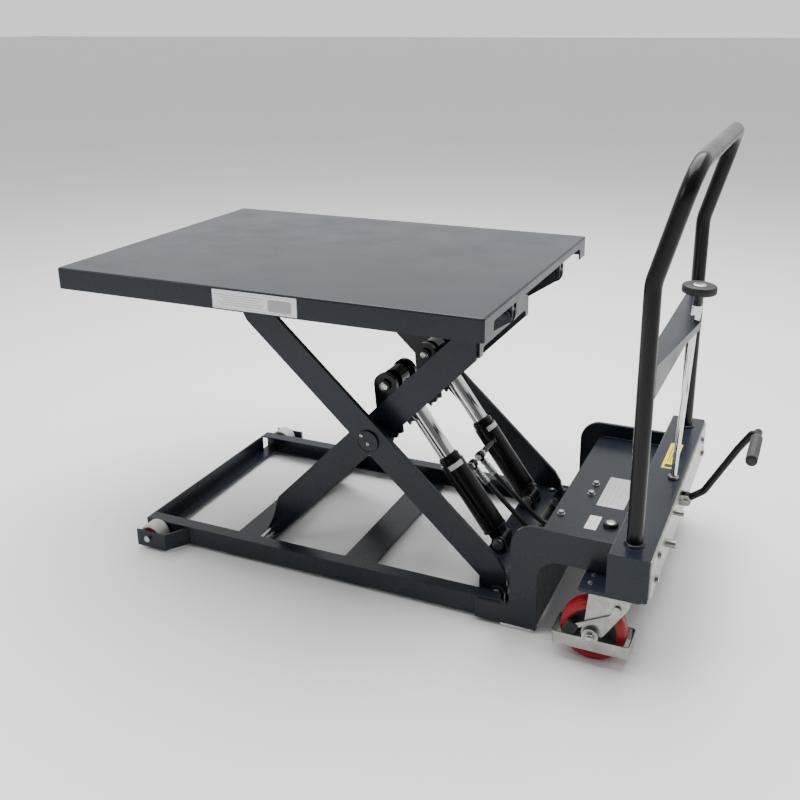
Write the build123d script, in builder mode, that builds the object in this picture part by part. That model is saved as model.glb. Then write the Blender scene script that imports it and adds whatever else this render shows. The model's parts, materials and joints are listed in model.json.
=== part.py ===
from build123d import *
from math import asin, atan2, cos, degrees, hypot, radians, sin, tan
import os

os.makedirs("parts", exist_ok=True)

# Mobile scissor lift table. +X runs along the length to the push handle, +Z is up and
# the origin is on the floor under the middle. "near" is the -Y side, "far" the +Y side.
# All sizes are in millimetres, and the platform is drawn raised.
SIDES = {"near": -1, "far": 1}

# Platform: a sheet-metal tray turned upside down.
deck_left, deck_right = -888.0, 312.0
deck_half = 444.0
deck_top = 839.0
skirt_height = 57.0
sheet = 4.0
deck_length = deck_right - deck_left
deck_middle = (deck_left + deck_right) / 2
skirt_bottom = deck_top - skirt_height
deck_underside = deck_top - sheet
lip_height = 23.0
lip_half = 380.0

# Scissor: both arms pivot at the centre pin, and turn on fixed pins at the handle end.
arm_reach = 511.8
centre = (-65.7, 409.5)
base_pivot = (302.4, 54.0)
deck_pivot = (285.3, 782.0)
lower_roller = (-416.7, 37.0)
upper_roller = (-433.9, 765.0)
arm_thickness = 12.0
outer_arm_y = 261.0
inner_arm_y = 200.0
outer_tilt = 42.76
inner_tilt = 45.71
outer_edges = (-26.0, 51.0)
inner_edges = (-29.25, 52.25)
roller_radius = 21.0
axle_radius = 10.0
pin_radius = 12.0
running_gap = 0.05

# Base frame: two channels that open inwards, tied by flat plates.
rail_left, rail_right = -773.0, 330.0
rail_bottom, rail_top = 10.0, 64.0
rail_inner, rail_outer = 294.0, 332.0
rail_wall = 4.0
floor_plate = 6.0

# Gooseneck: side plates that step up over the casters to the rear beam.
neck_left, neck_riser, neck_inner = 263.0, 353.0, 424.0
neck_top, neck_under = 297.0, 213.0
side_plate = 12.0
cover_top = 255.0
cover_sheet = 6.0
wall_x = 412.0

# Rear beam and push handle.
beam_left, beam_right = 607.0, 702.0
beam_bottom, beam_top = 210.0, 319.0
beam_half = 427.0
beam_wall = 5.0
handle_x, handle_y = 654.0, 362.0
handle_radius = 19.0
handle_bend_z = 933.0
handle_bar = (724.0, 1182.0)

# Hydraulic cylinders between the base mount and the inner arms.
mount_pivot = (261.0, 119.0)
mount_top = 96.0
mount_sheet = 8.0
cylinder_y = 130.0
lug_along, lug_across = 108.0, 80.0
barrel_radius, barrel_start, barrel_end = 33.0, 35.0, 252.0
cap_radius, cap_end = 28.0, 270.0
rod_radius, rod_start = 23.0, 200.0
hose_radius = 7.0
hose_start_y = {"near": -66.0, "far": -8.0}

# Casters and front rollers.
caster_y = 368.0
wheel_x, wheel_z, wheel_radius, wheel_width = 574.0, 80.0, 80.0, 45.0
swivel_x = 617.0
caster_plate_top = beam_bottom
caster_plate_sheet = 8.0
front_roller = (-725.0, 36.0)
front_roller_radius = 36.0

# Release knob and foot pedal.
rod_foot = (679.0, 5.0, 319.0)
rod_head = (703.0, 5.0, 832.0)
bracket_z = 752.0
pedal_hub = (720.0, -15.0, 278.0)
pedal_tip = (874.0, 486.0)


def write(name, builder):
    """Label a finished piece and write its STEP file."""
    builder.part.label = name
    export_step(builder.part, f"parts/{name}.step")


def at_y(y):
    """A sketch plane facing the near side: local x is +X and local y is +Z."""
    return Plane.XZ.offset(-y)


def arm_plane(y, tilt):
    """A sketch plane on an arm: local x runs along it, local y across it and upwards."""
    along = (cos(radians(tilt)), 0, sin(radians(tilt)))
    return Plane(origin=(centre[0], y, centre[1]), x_dir=along, z_dir=(0, -1, 0))


def extrude_y(length):
    """Extrude a sketch on an at_y or arm_plane plane towards +Y, or towards -Y when negative."""
    extrude(amount=-length)


def arm_local(point, tilt):
    """A point of the side view, given along and across an arm."""
    dx, dz = point[0] - centre[0], point[1] - centre[1]
    c, s = cos(radians(tilt)), sin(radians(tilt))
    return (dx * c + dz * s, dz * c - dx * s)


lug_pin = (
    centre[0] + lug_along * cos(radians(inner_tilt)) - lug_across * sin(radians(inner_tilt)),
    centre[1] + lug_along * sin(radians(inner_tilt)) + lug_across * cos(radians(inner_tilt)),
)
cylinder_rise = atan2(lug_pin[1] - mount_pivot[1], mount_pivot[0] - lug_pin[0])
cylinder_length = hypot(lug_pin[0] - mount_pivot[0], lug_pin[1] - mount_pivot[1])


def cylinder_plane(y):
    """A plane square to a cylinder at its lower pin: local x is +Y, and its normal points up the rod."""
    normal = (-cos(cylinder_rise), 0, sin(cylinder_rise))
    return Plane(origin=(mount_pivot[0], y, mount_pivot[1]), x_dir=(0, 1, 0), z_dir=normal)


def beside_cylinder(along, out, y):
    """A point this far up a cylinder from its lower pin, and this far above its axis."""
    c, s = cos(cylinder_rise), sin(cylinder_rise)
    return (mount_pivot[0] - along * c + out * s, y, mount_pivot[1] + along * s + out * c)


# ---- Platform ---------------------------------------------------------------------------


def make_platform_deck():
    """Top sheet with a skirt on three sides and a shallow lip between two tabs on the handle side."""
    with BuildPart() as deck:
        with BuildSketch(Plane.XY.offset(skirt_bottom)):
            with Locations((deck_middle, 0)):
                Rectangle(deck_length, 2 * deck_half)
        extrude(amount=skirt_height)
        fillet(deck.edges().filter_by(Axis.Z), 8)
        fillet(deck.faces().sort_by(Axis.Z)[-1].edges(), 5)
        with BuildSketch(Plane.XY.offset(skirt_bottom)):
            with Locations((deck_middle, 0)):
                RectangleRounded(deck_length - 2 * sheet, 2 * deck_half - 2 * sheet, 5)
        extrude(amount=skirt_height - sheet, mode=Mode.SUBTRACT)
        with BuildSketch(Plane.YZ.offset(deck_right - 3 * sheet)):
            with Locations((0, skirt_bottom)):
                RectangleRounded(2 * lip_half, 2 * (skirt_height - lip_height), 12)
        extrude(amount=4 * sheet, mode=Mode.SUBTRACT)
    write("platform_deck", deck)


def make_platform_tracks():
    """Two inward-facing channels under the sheet that the upper rollers run in, hung on ribs."""
    left, right = -800.0, -380.0
    inner, outer = 280.0, 320.0
    half = roller_radius + 2.0
    with BuildPart() as tracks:
        for side in SIDES.values():
            with BuildSketch(Plane.YZ.offset(left)):
                with Locations((side * (inner + outer) / 2, upper_roller[1])):
                    Rectangle(outer - inner, 2 * (half + rail_wall))
                with Locations((side * (inner + outer - 2 * rail_wall) / 2, upper_roller[1])):
                    Rectangle(outer - inner, 2 * half, mode=Mode.SUBTRACT)
                rib_low = upper_roller[1] + half + rail_wall
                with Locations((side * 303, (rib_low + deck_underside) / 2)):
                    Rectangle(6, deck_underside - rib_low)
            extrude(amount=right - left)
    write("platform_tracks", tracks)


def make_platform_brackets():
    """Four plates under the sheet that hold the inner arms' upper pins."""
    with BuildPart() as brackets:
        for side in SIDES.values():
            for y in (186.0, 216.0):
                start = side * y
                with BuildSketch(at_y(start)):
                    with Locations(deck_pivot):
                        Circle(20)
                    with Locations((deck_pivot[0], (deck_pivot[1] + deck_underside) / 2)):
                        Rectangle(40, deck_underside - deck_pivot[1])
                    with Locations(deck_pivot):
                        Circle(pin_radius + running_gap, mode=Mode.SUBTRACT)
                extrude_y(side * 10)
    write("platform_brackets", brackets)


def make_platform_pins():
    """Two headed pins through the inner arms' upper ends."""
    with BuildPart() as pins:
        for side in SIDES.values():
            with BuildSketch(at_y(side * 180)):
                with Locations(deck_pivot):
                    Circle(pin_radius)
            extrude_y(side * 52)
            with BuildSketch(at_y(side * 226.2)):
                with Locations(deck_pivot):
                    Circle(17)
            extrude_y(side * 6)
    write("platform_pins", pins)


# ---- Scissor arms -----------------------------------------------------------------------


def make_outer_arm(name, side):
    """Flat arm from the base pivot up to the roller under the platform's far end."""
    low, high = outer_edges
    pivot = arm_local(base_pivot, -outer_tilt)
    roller = arm_local(upper_roller, -outer_tilt)
    outline = [
        (roller[0] + 56, low),
        (roller[0] + 12, low + 16),
        (roller[0] - 10, high - 15),
        (roller[0] + 34, high),
        (pivot[0] - 66, high),
        (pivot[0] - 32, high - 10),
        (pivot[0] - 6, high - 27),
        (pivot[0] + 17, pivot[1] + 12),
        (pivot[0] - 8, low),
    ]
    with BuildPart() as arm:
        with BuildSketch(arm_plane(side * outer_arm_y, -outer_tilt)):
            with BuildLine():
                Polyline(outline, close=True)
            make_face()
            with Locations(pivot, roller):
                Circle(24)
            with Locations(pivot):
                Circle(pin_radius + running_gap, mode=Mode.SUBTRACT)
            with Locations(roller):
                Circle(axle_radius + running_gap, mode=Mode.SUBTRACT)
            with Locations((0, 0)):
                Circle(20 + running_gap, mode=Mode.SUBTRACT)
        extrude_y(side * arm_thickness)
        rims = arm.faces().filter_by(Axis.Y).sort_by(Axis.Y)
        fillet(rims[-1 if side > 0 else 0].outer_wire().edges(), 1.0)
    write(name, arm)


def make_inner_arm(name, side):
    """Flat arm from the lower roller up to the platform pin, with the centre pin's bearing boss."""
    low, high = inner_edges
    pivot = arm_local(deck_pivot, inner_tilt)
    roller = arm_local(lower_roller, inner_tilt)
    outline = [
        (roller[0] + 24, low),
        (pivot[0] - 148, low),
        (pivot[0] - 109, pivot[1]),
        (pivot[0] - 14, pivot[1] - 20),
        (pivot[0] + 10, pivot[1] + 20),
        (pivot[0] - 42, high),
        (roller[0] + 100, high),
        (roller[0] + 40, high - 32),
        (roller[0] - 6, roller[1] + 14),
        (roller[0] + 2, roller[1] - 15),
    ]
    with BuildPart() as arm:
        with BuildSketch(arm_plane(side * inner_arm_y, inner_tilt)):
            with BuildLine():
                Polyline(outline, close=True)
            make_face()
            with Locations(pivot):
                Circle(24)
            with Locations(roller):
                Circle(16)
            with Locations(pivot):
                Circle(pin_radius + running_gap, mode=Mode.SUBTRACT)
            with Locations(roller):
                Circle(axle_radius + running_gap, mode=Mode.SUBTRACT)
        extrude_y(side * arm_thickness)
        with BuildSketch(arm_plane(side * (inner_arm_y + arm_thickness), inner_tilt)):
            Circle(34)
        extrude_y(side * (outer_arm_y - inner_arm_y - arm_thickness - 1))
        with BuildSketch(arm_plane(side * inner_arm_y, inner_tilt)):
            Circle(20 + running_gap)
        extrude(amount=-side * 70, mode=Mode.SUBTRACT)
    write(name, arm)


def make_centre_pins():
    """Headed pins, fixed in the outer arms, that the inner arms turn on."""
    outer_face = outer_arm_y + arm_thickness
    with BuildPart() as pins:
        for side in SIDES.values():
            with BuildSketch(arm_plane(side * (inner_arm_y + 0.5), inner_tilt)):
                Circle(20)
            extrude_y(side * (outer_face - inner_arm_y - 0.5))
            with BuildSketch(arm_plane(side * outer_face, inner_tilt)):
                Circle(31)
            extrude_y(side * 5)
    write("centre_pins", pins)


def make_roller_axle(name, point, sleeve_half, sleeve_radius, end):
    """A full-width axle: a thick middle between the arms and a stub for each roller."""
    with BuildPart() as axle:
        with BuildSketch(Plane.XZ):
            with Locations(point):
                Circle(axle_radius)
        extrude(amount=end, both=True)
        with BuildSketch(Plane.XZ):
            with Locations(point):
                Circle(sleeve_radius)
        extrude(amount=sleeve_half, both=True)
    write(name, axle)


def make_scissor_roller(name, side, point, inner, width):
    """Steel roller with a crowned edge and a running bore."""
    with BuildPart() as roller:
        with BuildSketch(at_y(side * inner)):
            with Locations(point):
                Circle(roller_radius)
                Circle(axle_radius + running_gap, mode=Mode.SUBTRACT)
        extrude_y(side * width)
        chamfer(roller.edges().filter_by(GeomType.CIRCLE).group_by(SortBy.RADIUS)[-1], 1.5)
    write(name, roller)


def make_inner_cross_beam():
    """Box tube that ties the inner arms beside the centre pins."""
    with BuildPart() as beam:
        with BuildSketch(arm_plane(0, inner_tilt)):
            with Locations((-25, 0)):
                RectangleRounded(60, 50, 5)
                RectangleRounded(50, 40, 2.5, mode=Mode.SUBTRACT)
        extrude(amount=inner_arm_y, both=True)
    write("inner_cross_beam", beam)


def make_cylinder_lugs():
    """Four black lug plates with toothed tails; each pair holds a cylinder rod's eye."""
    tail = [(5, 12), (5, -44), (16, -37), (27, -44), (38, -37), (49, -44)]
    head = [(lug_along + 23, lug_across - 24), (lug_along - 23, lug_across + 24)]
    with BuildPart() as lugs:
        for side in SIDES.values():
            for inner, stub_start, stub in ((68.0, 68.0, -8.0), (188.0, 200.0, 8.0)):
                with BuildSketch(arm_plane(side * inner, inner_tilt)):
                    with BuildLine():
                        Polyline(tail + head, close=True)
                    make_face()
                    with Locations((lug_along, lug_across)):
                        Circle(33)
                extrude_y(side * 12)
                with BuildSketch(arm_plane(side * stub_start, inner_tilt)):
                    with Locations((lug_along, lug_across)):
                        Circle(16)
                extrude_y(side * stub)
    write("cylinder_lugs", lugs)


def make_inner_end_plate():
    """Upright plate across the inner arms' upper ends, arched to clear the lowered cylinders."""
    left, thick = 209.0, 6.0
    low, high = 654.0, 748.0
    with BuildPart() as plate:
        with BuildSketch(Plane.YZ.offset(left)):
            with Locations((0, (low + high) / 2)):
                Rectangle(2 * inner_arm_y, high - low)
            with Locations((0, low)):
                RectangleRounded(350, 44, 14, mode=Mode.SUBTRACT)
        extrude(amount=thick)
    write("inner_end_plate", plate)


# ---- Base frame -------------------------------------------------------------------------


def make_base_rail(name, side):
    """Channel with its open side inwards; the inner arm's roller runs inside it."""
    middle = (rail_bottom + rail_top) / 2
    height = rail_top - rail_bottom
    depth = rail_outer - rail_inner
    with BuildPart() as rail:
        with BuildSketch(Plane.YZ.offset(rail_left)):
            with Locations((side * (rail_inner + depth / 2), middle)):
                Rectangle(depth, height)
            with Locations((side * (rail_inner + depth / 2 - rail_wall), middle)):
                Rectangle(depth, height - 2 * rail_wall, mode=Mode.SUBTRACT)
        extrude(amount=rail_right - rail_left)
        with BuildSketch(Plane.XY.offset(rail_top - 2 * rail_wall)):
            with BuildLine():
                Polyline(
                    [
                        (rail_right + 1, side * (rail_inner - 1)),
                        (rail_right + 1, side * (rail_outer - rail_wall)),
                        (rail_right - 24, side * (rail_inner - 1)),
                    ],
                    close=True,
                )
            make_face()
        extrude(amount=3 * rail_wall, mode=Mode.SUBTRACT)
    write(name, rail)


def make_end_member():
    """Angle that closes the frame at the end away from the handle."""
    with BuildPart() as member:
        with BuildSketch(at_y(-rail_inner)):
            with BuildLine():
                Polyline(
                    [
                        (rail_left, rail_bottom),
                        (rail_left + 45, rail_bottom),
                        (rail_left + 45, rail_bottom + rail_wall),
                        (rail_left + 5, rail_bottom + rail_wall),
                        (rail_left + 5, rail_top),
                        (rail_left, rail_top),
                    ],
                    close=True,
                )
            make_face()
        extrude_y(2 * rail_inner)
    write("end_member", member)


def make_cross_plates():
    """Flat ties between the rails; the third also carries the cylinder mount and the arm pivots."""
    with BuildPart() as plates:
        for left, right in ((-526.0, -407.0), (-172.0, -76.0), (232.0, rail_right)):
            with BuildSketch(Plane.XY.offset(rail_bottom)):
                with Locations(((left + right) / 2, 0)):
                    Rectangle(right - left, 2 * rail_inner)
            extrude(amount=floor_plate)
    write("cross_plates", plates)


def make_side_plate(name, side):
    """Profiled gooseneck plate outside the rail."""
    with BuildPart() as plate:
        with BuildSketch(at_y(side * rail_outer)):
            with BuildLine():
                FilletPolyline(
                    [
                        (neck_left, rail_bottom),
                        (neck_left, rail_top),
                        (neck_riser, rail_top),
                        (neck_riser, neck_top),
                        (beam_left, neck_top),
                        (beam_left, neck_under),
                        (neck_inner, neck_under),
                        (neck_inner, rail_bottom),
                    ],
                    radius=[3, 3, 12, 60, 1, 1, 50, 3],
                    close=True,
                )
            make_face()
        extrude_y(side * side_plate)
        faces = plate.faces().filter_by(Axis.Y).sort_by(Axis.Y)
        fillet(faces[-1 if side > 0 else 0].outer_wire().edges(), 0.8)
    write(name, plate)


def make_gooseneck_wall():
    """Cross wall and underside plates between the side plates, with two hose unions."""
    with BuildPart() as wall:
        with BuildSketch(at_y(-rail_outer)):
            with BuildLine():
                Polyline(
                    [
                        (wall_x, rail_bottom),
                        (wall_x, cover_top - cover_sheet),
                        (wall_x + 8, cover_top - cover_sheet),
                        (wall_x + 8, neck_under + 6),
                        (beam_left, neck_under + 6),
                        (beam_left, neck_under),
                        (wall_x + 8, neck_under),
                        (wall_x + 8, rail_bottom),
                    ],
                    close=True,
                )
            make_face()
        extrude_y(2 * rail_outer)
        with BuildSketch(Plane.XY.offset(neck_under)):
            with Locations(((wall_x + 8 + beam_left) / 2, 0)):
                Rectangle(beam_left - wall_x - 8, 380)
        extrude(amount=6, mode=Mode.SUBTRACT)
        with BuildSketch(Plane.YZ.offset(wall_x)):
            with Locations(*[(y, hose_exit_z) for y in hose_exit_y.values()]):
                RegularPolygon(12, 6)
        extrude(amount=-8)
    write("gooseneck_wall", wall)


def make_cover_plate():
    """Sheet over the pump between the side plates."""
    with BuildPart() as cover:
        with BuildSketch(Plane.XY.offset(cover_top - cover_sheet)):
            with Locations(((wall_x + beam_left) / 2, 0)):
                Rectangle(beam_left - wall_x, 2 * rail_outer)
        extrude(amount=cover_sheet)
    write("cover_plate", cover)


def make_rear_beam():
    """Box beam across the back, bored for the handle tubes and the release rod."""
    middle_x = (beam_left + beam_right) / 2
    middle_z = (beam_bottom + beam_top) / 2
    with BuildPart() as beam:
        with BuildSketch(at_y(-beam_half)):
            with Locations((middle_x, middle_z)):
                RectangleRounded(beam_right - beam_left, beam_top - beam_bottom, 6)
        extrude_y(2 * beam_half)
        with BuildSketch(at_y(-beam_half + beam_wall)):
            with Locations((middle_x, middle_z)):
                Rectangle(beam_right - beam_left - 2 * beam_wall, beam_top - beam_bottom - 2 * beam_wall)
        extrude(amount=-2 * (beam_half - beam_wall), mode=Mode.SUBTRACT)
        with BuildSketch(Plane.XY.offset(beam_top - beam_wall - 1)):
            with Locations((handle_x, -handle_y), (handle_x, handle_y)):
                Circle(handle_radius + 1)
            with Locations((rod_foot[0], rod_foot[1])):
                Circle(13)
        extrude(amount=beam_wall + 2, mode=Mode.SUBTRACT)
    write("rear_beam", beam)


def make_back_plate():
    """Zinc plate on the back of the beam with valve studs and the pedal's two ears."""
    thick = 5.0
    face = beam_right + thick
    hub_x, hub_y, hub_z = pedal_hub
    with BuildPart() as plate:
        with BuildSketch(Plane.YZ.offset(beam_right)):
            with Locations((0, (beam_bottom + beam_top) / 2)):
                RectangleRounded(2 * (beam_half - 8), beam_top - beam_bottom - 10, 4)
            with Locations((250, 250), (180, 290), (-320, 245)):
                Circle(5, mode=Mode.SUBTRACT)
        extrude(amount=thick)
        with BuildSketch(Plane.YZ.offset(face)):
            with Locations((-121, 289)):
                Circle(7)
            with Locations((-225, 260)):
                Circle(10)
        extrude(amount=22)
        for start in (hub_y - 18, hub_y + 12):
            with BuildSketch(at_y(start)):
                with Locations((hub_x, hub_z)):
                    Circle(13)
                with Locations(((face + hub_x) / 2, hub_z)):
                    Rectangle(hub_x - face, 26)
            extrude_y(6)
        with BuildSketch(at_y(hub_y - 22)):
            with Locations((hub_x, hub_z)):
                Circle(6)
        extrude_y(44)
    write("back_plate", plate)


def make_mount_webs():
    """Upright webs between the cross plate and the cylinder mount, and the wall behind them."""
    left, wall_left, wall_right = 236.0, 296.0, 304.0
    foot, half = rail_bottom + floor_plate, 238.0
    with BuildPart() as webs:
        with BuildSketch(Plane.XY.offset(foot)):
            with Locations(*[((left + wall_left - 0.1) / 2, y) for y in (-233, -65, 65, 233)]):
                Rectangle(wall_left - 0.1 - left, 10)
            with Locations(((wall_left + wall_right) / 2, 0)):
                Rectangle(wall_right - wall_left, 2 * half)
        extrude(amount=mount_top - mount_sheet - foot)
    write("mount_webs", webs)


def make_cylinder_mount():
    """Seat for the cylinders: a top plate and two pairs of ears."""
    left, right = 229.0, 311.0
    with BuildPart() as mount:
        with BuildSketch(Plane.XY.offset(mount_top - mount_sheet)):
            with Locations(((left + right) / 2, 0)):
                RectangleRounded(right - left, 500, 6)
        extrude(amount=mount_sheet)
        for side in SIDES.values():
            for inner in (99.0, 151.0):
                with BuildSketch(at_y(side * inner)):
                    with Locations(mount_pivot):
                        Circle(20)
                    with BuildLine():
                        Polyline(
                            [
                                (mount_pivot[0] - 20, mount_pivot[1]),
                                (mount_pivot[0] - 24, mount_top),
                                (mount_pivot[0] + 24, mount_top),
                                (mount_pivot[0] + 20, mount_pivot[1]),
                            ],
                            close=True,
                        )
                    make_face()
                    with Locations(mount_pivot):
                        Circle(pin_radius + running_gap, mode=Mode.SUBTRACT)
                extrude_y(side * 10)
    write("cylinder_mount", mount)


def make_arm_pivot_brackets():
    """Two plates each side of both outer arms' lower ends."""
    foot = rail_bottom + floor_plate
    with BuildPart() as brackets:
        for side in SIDES.values():
            for inner in (244.0, 280.0):
                with BuildSketch(at_y(side * inner)):
                    with Locations(base_pivot):
                        Circle(20)
                    with Locations((base_pivot[0], (foot + base_pivot[1]) / 2)):
                        Rectangle(40, base_pivot[1] - foot)
                    with Locations(base_pivot):
                        Circle(pin_radius + running_gap, mode=Mode.SUBTRACT)
                extrude_y(side * 10)
    write("arm_pivot_brackets", brackets)


def make_base_pins():
    """Headed pins through the outer arms' lower ends and through the cylinders' lower eyes."""
    with BuildPart() as pins:
        for side in SIDES.values():
            for point, start, end, head in (
                (base_pivot, 238.0, 291.0, 238.0),
                (mount_pivot, 93.0, 166.0, 93.0),
                (mount_pivot, 93.0, 166.0, 161.3),
            ):
                with BuildSketch(at_y(side * start)):
                    with Locations(point):
                        Circle(pin_radius)
                extrude_y(side * (end - start))
                with BuildSketch(at_y(side * head)):
                    with Locations(point):
                        Circle(16)
                extrude_y(side * 5.5)
    write("base_pins", pins)


def make_roller_brackets():
    """Bent plates outside the rails that carry the front rollers' bolts."""
    inner, outer = 386.0, 391.0
    low, high = 8.0, 58.0
    with BuildPart() as brackets:
        for side in SIDES.values():
            outline = [(-764, outer), (-666, outer), (-628, rail_outer)]
            outline += [(-634, rail_outer), (-669, inner), (-764, inner)]
            with BuildSketch(Plane.XY.offset(low)):
                with BuildLine():
                    Polyline([(x, side * y) for x, y in outline], close=True)
                make_face()
            extrude(amount=high - low)
            with BuildSketch(at_y(side * inner)):
                with Locations(front_roller):
                    Circle(6 + running_gap)
            extrude(amount=-side * 6, mode=Mode.SUBTRACT)
    write("roller_brackets", brackets)


def make_roller_bolts():
    """Bolts that the front rollers turn on."""
    with BuildPart() as bolts:
        for side in SIDES.values():
            with BuildSketch(at_y(side * rail_outer)):
                with Locations(front_roller):
                    Circle(6)
            extrude_y(side * 60)
            with BuildSketch(at_y(side * 391)):
                with Locations(front_roller):
                    RegularPolygon(10, 6)
            extrude_y(side * 7)
    write("roller_bolts", bolts)


def make_front_roller(name, side):
    """Pale solid roller with a raised hub."""
    with BuildPart() as roller:
        with BuildSketch(at_y(side * 337)):
            with Locations(front_roller):
                Circle(front_roller_radius)
        extrude_y(side * 44)
        fillet(roller.edges().filter_by(GeomType.CIRCLE), 4)
        with BuildSketch(at_y(side * 335)):
            with Locations(front_roller):
                Circle(14)
        extrude_y(side * 48)
        with BuildSketch(at_y(side * 334)):
            with Locations(front_roller):
                Circle(6 + running_gap)
        extrude(amount=-side * 50, mode=Mode.SUBTRACT)
    write(name, roller)


def make_pump_unit():
    """Black oil tank and foot pump under the cover."""
    with BuildPart() as pump:
        with BuildSketch(Plane.XY.offset(120)):
            with Locations((515, 0)):
                RectangleRounded(150, 360, 10)
        extrude(amount=cover_top - cover_sheet - 120)
        with BuildSketch(Plane.XY.offset(96)):
            with Locations((535, -15)):
                Circle(34)
        extrude(amount=24)
    write("pump_unit", pump)


def make_frame_bolts():
    """Hexagon bolts with washers on the cover and the caster plates, and black heads on the back plate."""
    on_cover = [(477, 17), (478, -42), (433, -176)]
    on_plates = [(564, side * y) for side in SIDES.values() for y in (356, 392)]
    on_back = [(side * y, z) for side in SIDES.values() for y, z in ((340, 292), (362, 240))]
    with BuildPart() as bolts:
        for spots, base, radius in ((on_cover, cover_top, 8.0), (on_plates, caster_plate_top, 5.0)):
            with BuildSketch(Plane.XY.offset(base)):
                with Locations(*spots):
                    Circle(1.25 * radius)
            extrude(amount=2)
            with BuildSketch(Plane.XY.offset(base + 2)):
                with Locations(*spots):
                    RegularPolygon(radius, 6)
            extrude(amount=0.8 * radius)
        with BuildSketch(Plane.YZ.offset(beam_right + 5)):
            with Locations(*on_back):
                RegularPolygon(9, 6)
        extrude(amount=7)
    write("frame_bolts", bolts)


def make_filler_cap():
    """Screw cap of the oil tank."""
    with BuildPart() as cap:
        with BuildSketch(Plane.XY.offset(cover_top)):
            with Locations((563, -187)):
                Circle(19)
        extrude(amount=10)
        chamfer(cap.faces().sort_by(Axis.Z)[-1].edges(), 2)
    write("filler_cap", cap)


def make_caster_plates():
    """Painted plates under the beam's ends that the casters bolt to."""
    with BuildPart() as plates:
        with BuildSketch(Plane.XY.offset(caster_plate_top - caster_plate_sheet)):
            with Locations((616, -caster_y), (616, caster_y)):
                RectangleRounded(148, 106, 12)
        extrude(amount=caster_plate_sheet)
    write("caster_plates", plates)


def make_push_handle():
    """One bent tube: two uprights, kinked back towards the user, and the top bar."""
    foot = beam_bottom + beam_wall
    points = []
    for side in (-1, 1):
        leg = [(handle_x, side * handle_y, foot), (handle_x, side * handle_y, handle_bend_z)]
        leg.append((handle_bar[0], side * handle_y, handle_bar[1]))
        points += leg if side < 0 else leg[::-1]
    with BuildPart() as handle:
        with BuildLine() as path:
            FilletPolyline(points, radius=[110, 75, 75, 110])
        with BuildSketch(Plane(origin=points[0], x_dir=(1, 0, 0), z_dir=(0, 0, 1))):
            Circle(handle_radius)
            Circle(handle_radius - 2.5, mode=Mode.SUBTRACT)
        sweep(path=path.wires()[0])
    write("push_handle", handle)


def make_handle_bracket():
    """Angle plate between the uprights, deepest at the tubes, that steadies the release rod."""
    back, sheet_z = 641.0, 5.0
    near_x, apex_x, apex_y = 673.0, 715.0, rod_head[1]
    deep, shallow, taper_y = 77.0, 20.0, 131.0
    front = [(near_x, -handle_y), (apex_x, apex_y), (near_x, handle_y)]
    with BuildPart() as bracket:
        with BuildSketch(Plane.XY.offset(bracket_z - sheet_z)):
            with BuildLine():
                Polyline([(back, -handle_y)] + front + [(back, handle_y)], close=True)
            make_face()
        extrude(amount=sheet_z)
        with BuildSketch(Plane.XY.offset(bracket_z - deep)):
            with BuildLine():
                Polyline(front + [(x - sheet_z, y) for x, y in front[::-1]], close=True)
            make_face()
        extrude(amount=deep)
        with BuildSketch(Plane.YZ.offset(back)):
            with BuildLine():
                Polyline(
                    [
                        (-handle_y - 1, bracket_z - deep - 1),
                        (-handle_y - 1, bracket_z - deep),
                        (-taper_y, bracket_z - shallow),
                        (taper_y, bracket_z - shallow),
                        (handle_y + 1, bracket_z - deep),
                        (handle_y + 1, bracket_z - deep - 1),
                    ],
                    close=True,
                )
            make_face()
        extrude(amount=90, mode=Mode.SUBTRACT)
        with BuildSketch(Plane.XY.offset(bracket_z - deep - 1)):
            with Locations((handle_x, -handle_y), (handle_x, handle_y)):
                Circle(handle_radius + 0.2)
        extrude(amount=deep + 2, mode=Mode.SUBTRACT)
        with BuildSketch(release_plane()):
            Circle(8.8)
        extrude(amount=520, mode=Mode.SUBTRACT)
    write("handle_bracket", bracket)


# ---- Hydraulic cylinders and hoses ------------------------------------------------------


def make_cylinder_barrel(name, side):
    """Barrel with its lower eye, end cap, and the hose elbow on the side that faces its twin."""
    y = side * cylinder_y
    plane = cylinder_plane(y)
    with BuildPart() as barrel:
        with BuildSketch(at_y(y)):
            with Locations(mount_pivot):
                Circle(21)
        extrude(amount=20, both=True)
        with BuildSketch(plane.offset(8)):
            Rectangle(40, 34)
        extrude(amount=barrel_start - 6)
        with BuildSketch(plane.offset(barrel_start)):
            Circle(barrel_radius)
        extrude(amount=barrel_end - barrel_start)
        with BuildSketch(plane.offset(barrel_end)):
            Circle(cap_radius)
        extrude(amount=cap_end - barrel_end)
        with BuildSketch(at_y(y)):
            with Locations(elbow_point(0)[::2]):
                Circle(9)
        extrude_y(hose_start(side) - side * 10 - y)
        with BuildSketch(ferrule_plane(side)):
            Circle(7.6)
        extrude(amount=-34)
        with BuildSketch(plane.offset(60)):
            Circle(rod_radius + 0.08)
        extrude(amount=cap_end - 60, mode=Mode.SUBTRACT)
        with BuildSketch(at_y(y)):
            with Locations(mount_pivot):
                Circle(pin_radius + running_gap)
        extrude(amount=25, both=True, mode=Mode.SUBTRACT)
    write(name, barrel)


def make_cylinder_rod(name, side):
    """Chrome rod with its upper eye and cross pin."""
    y = side * cylinder_y
    plane = cylinder_plane(y)
    with BuildPart() as rod:
        with BuildSketch(plane.offset(rod_start)):
            Circle(rod_radius)
        extrude(amount=cylinder_length - rod_start)
        with BuildSketch(at_y(y)):
            with Locations(lug_pin):
                Circle(28)
        extrude(amount=24, both=True)
        with BuildSketch(at_y(side * 81)):
            with Locations(lug_pin):
                Circle(15)
        extrude_y(side * 106)
    write(name, rod)


def elbow_point(y):
    """Where a hose elbow leaves the barrel."""
    return beside_cylinder(204, 12, y)


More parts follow.
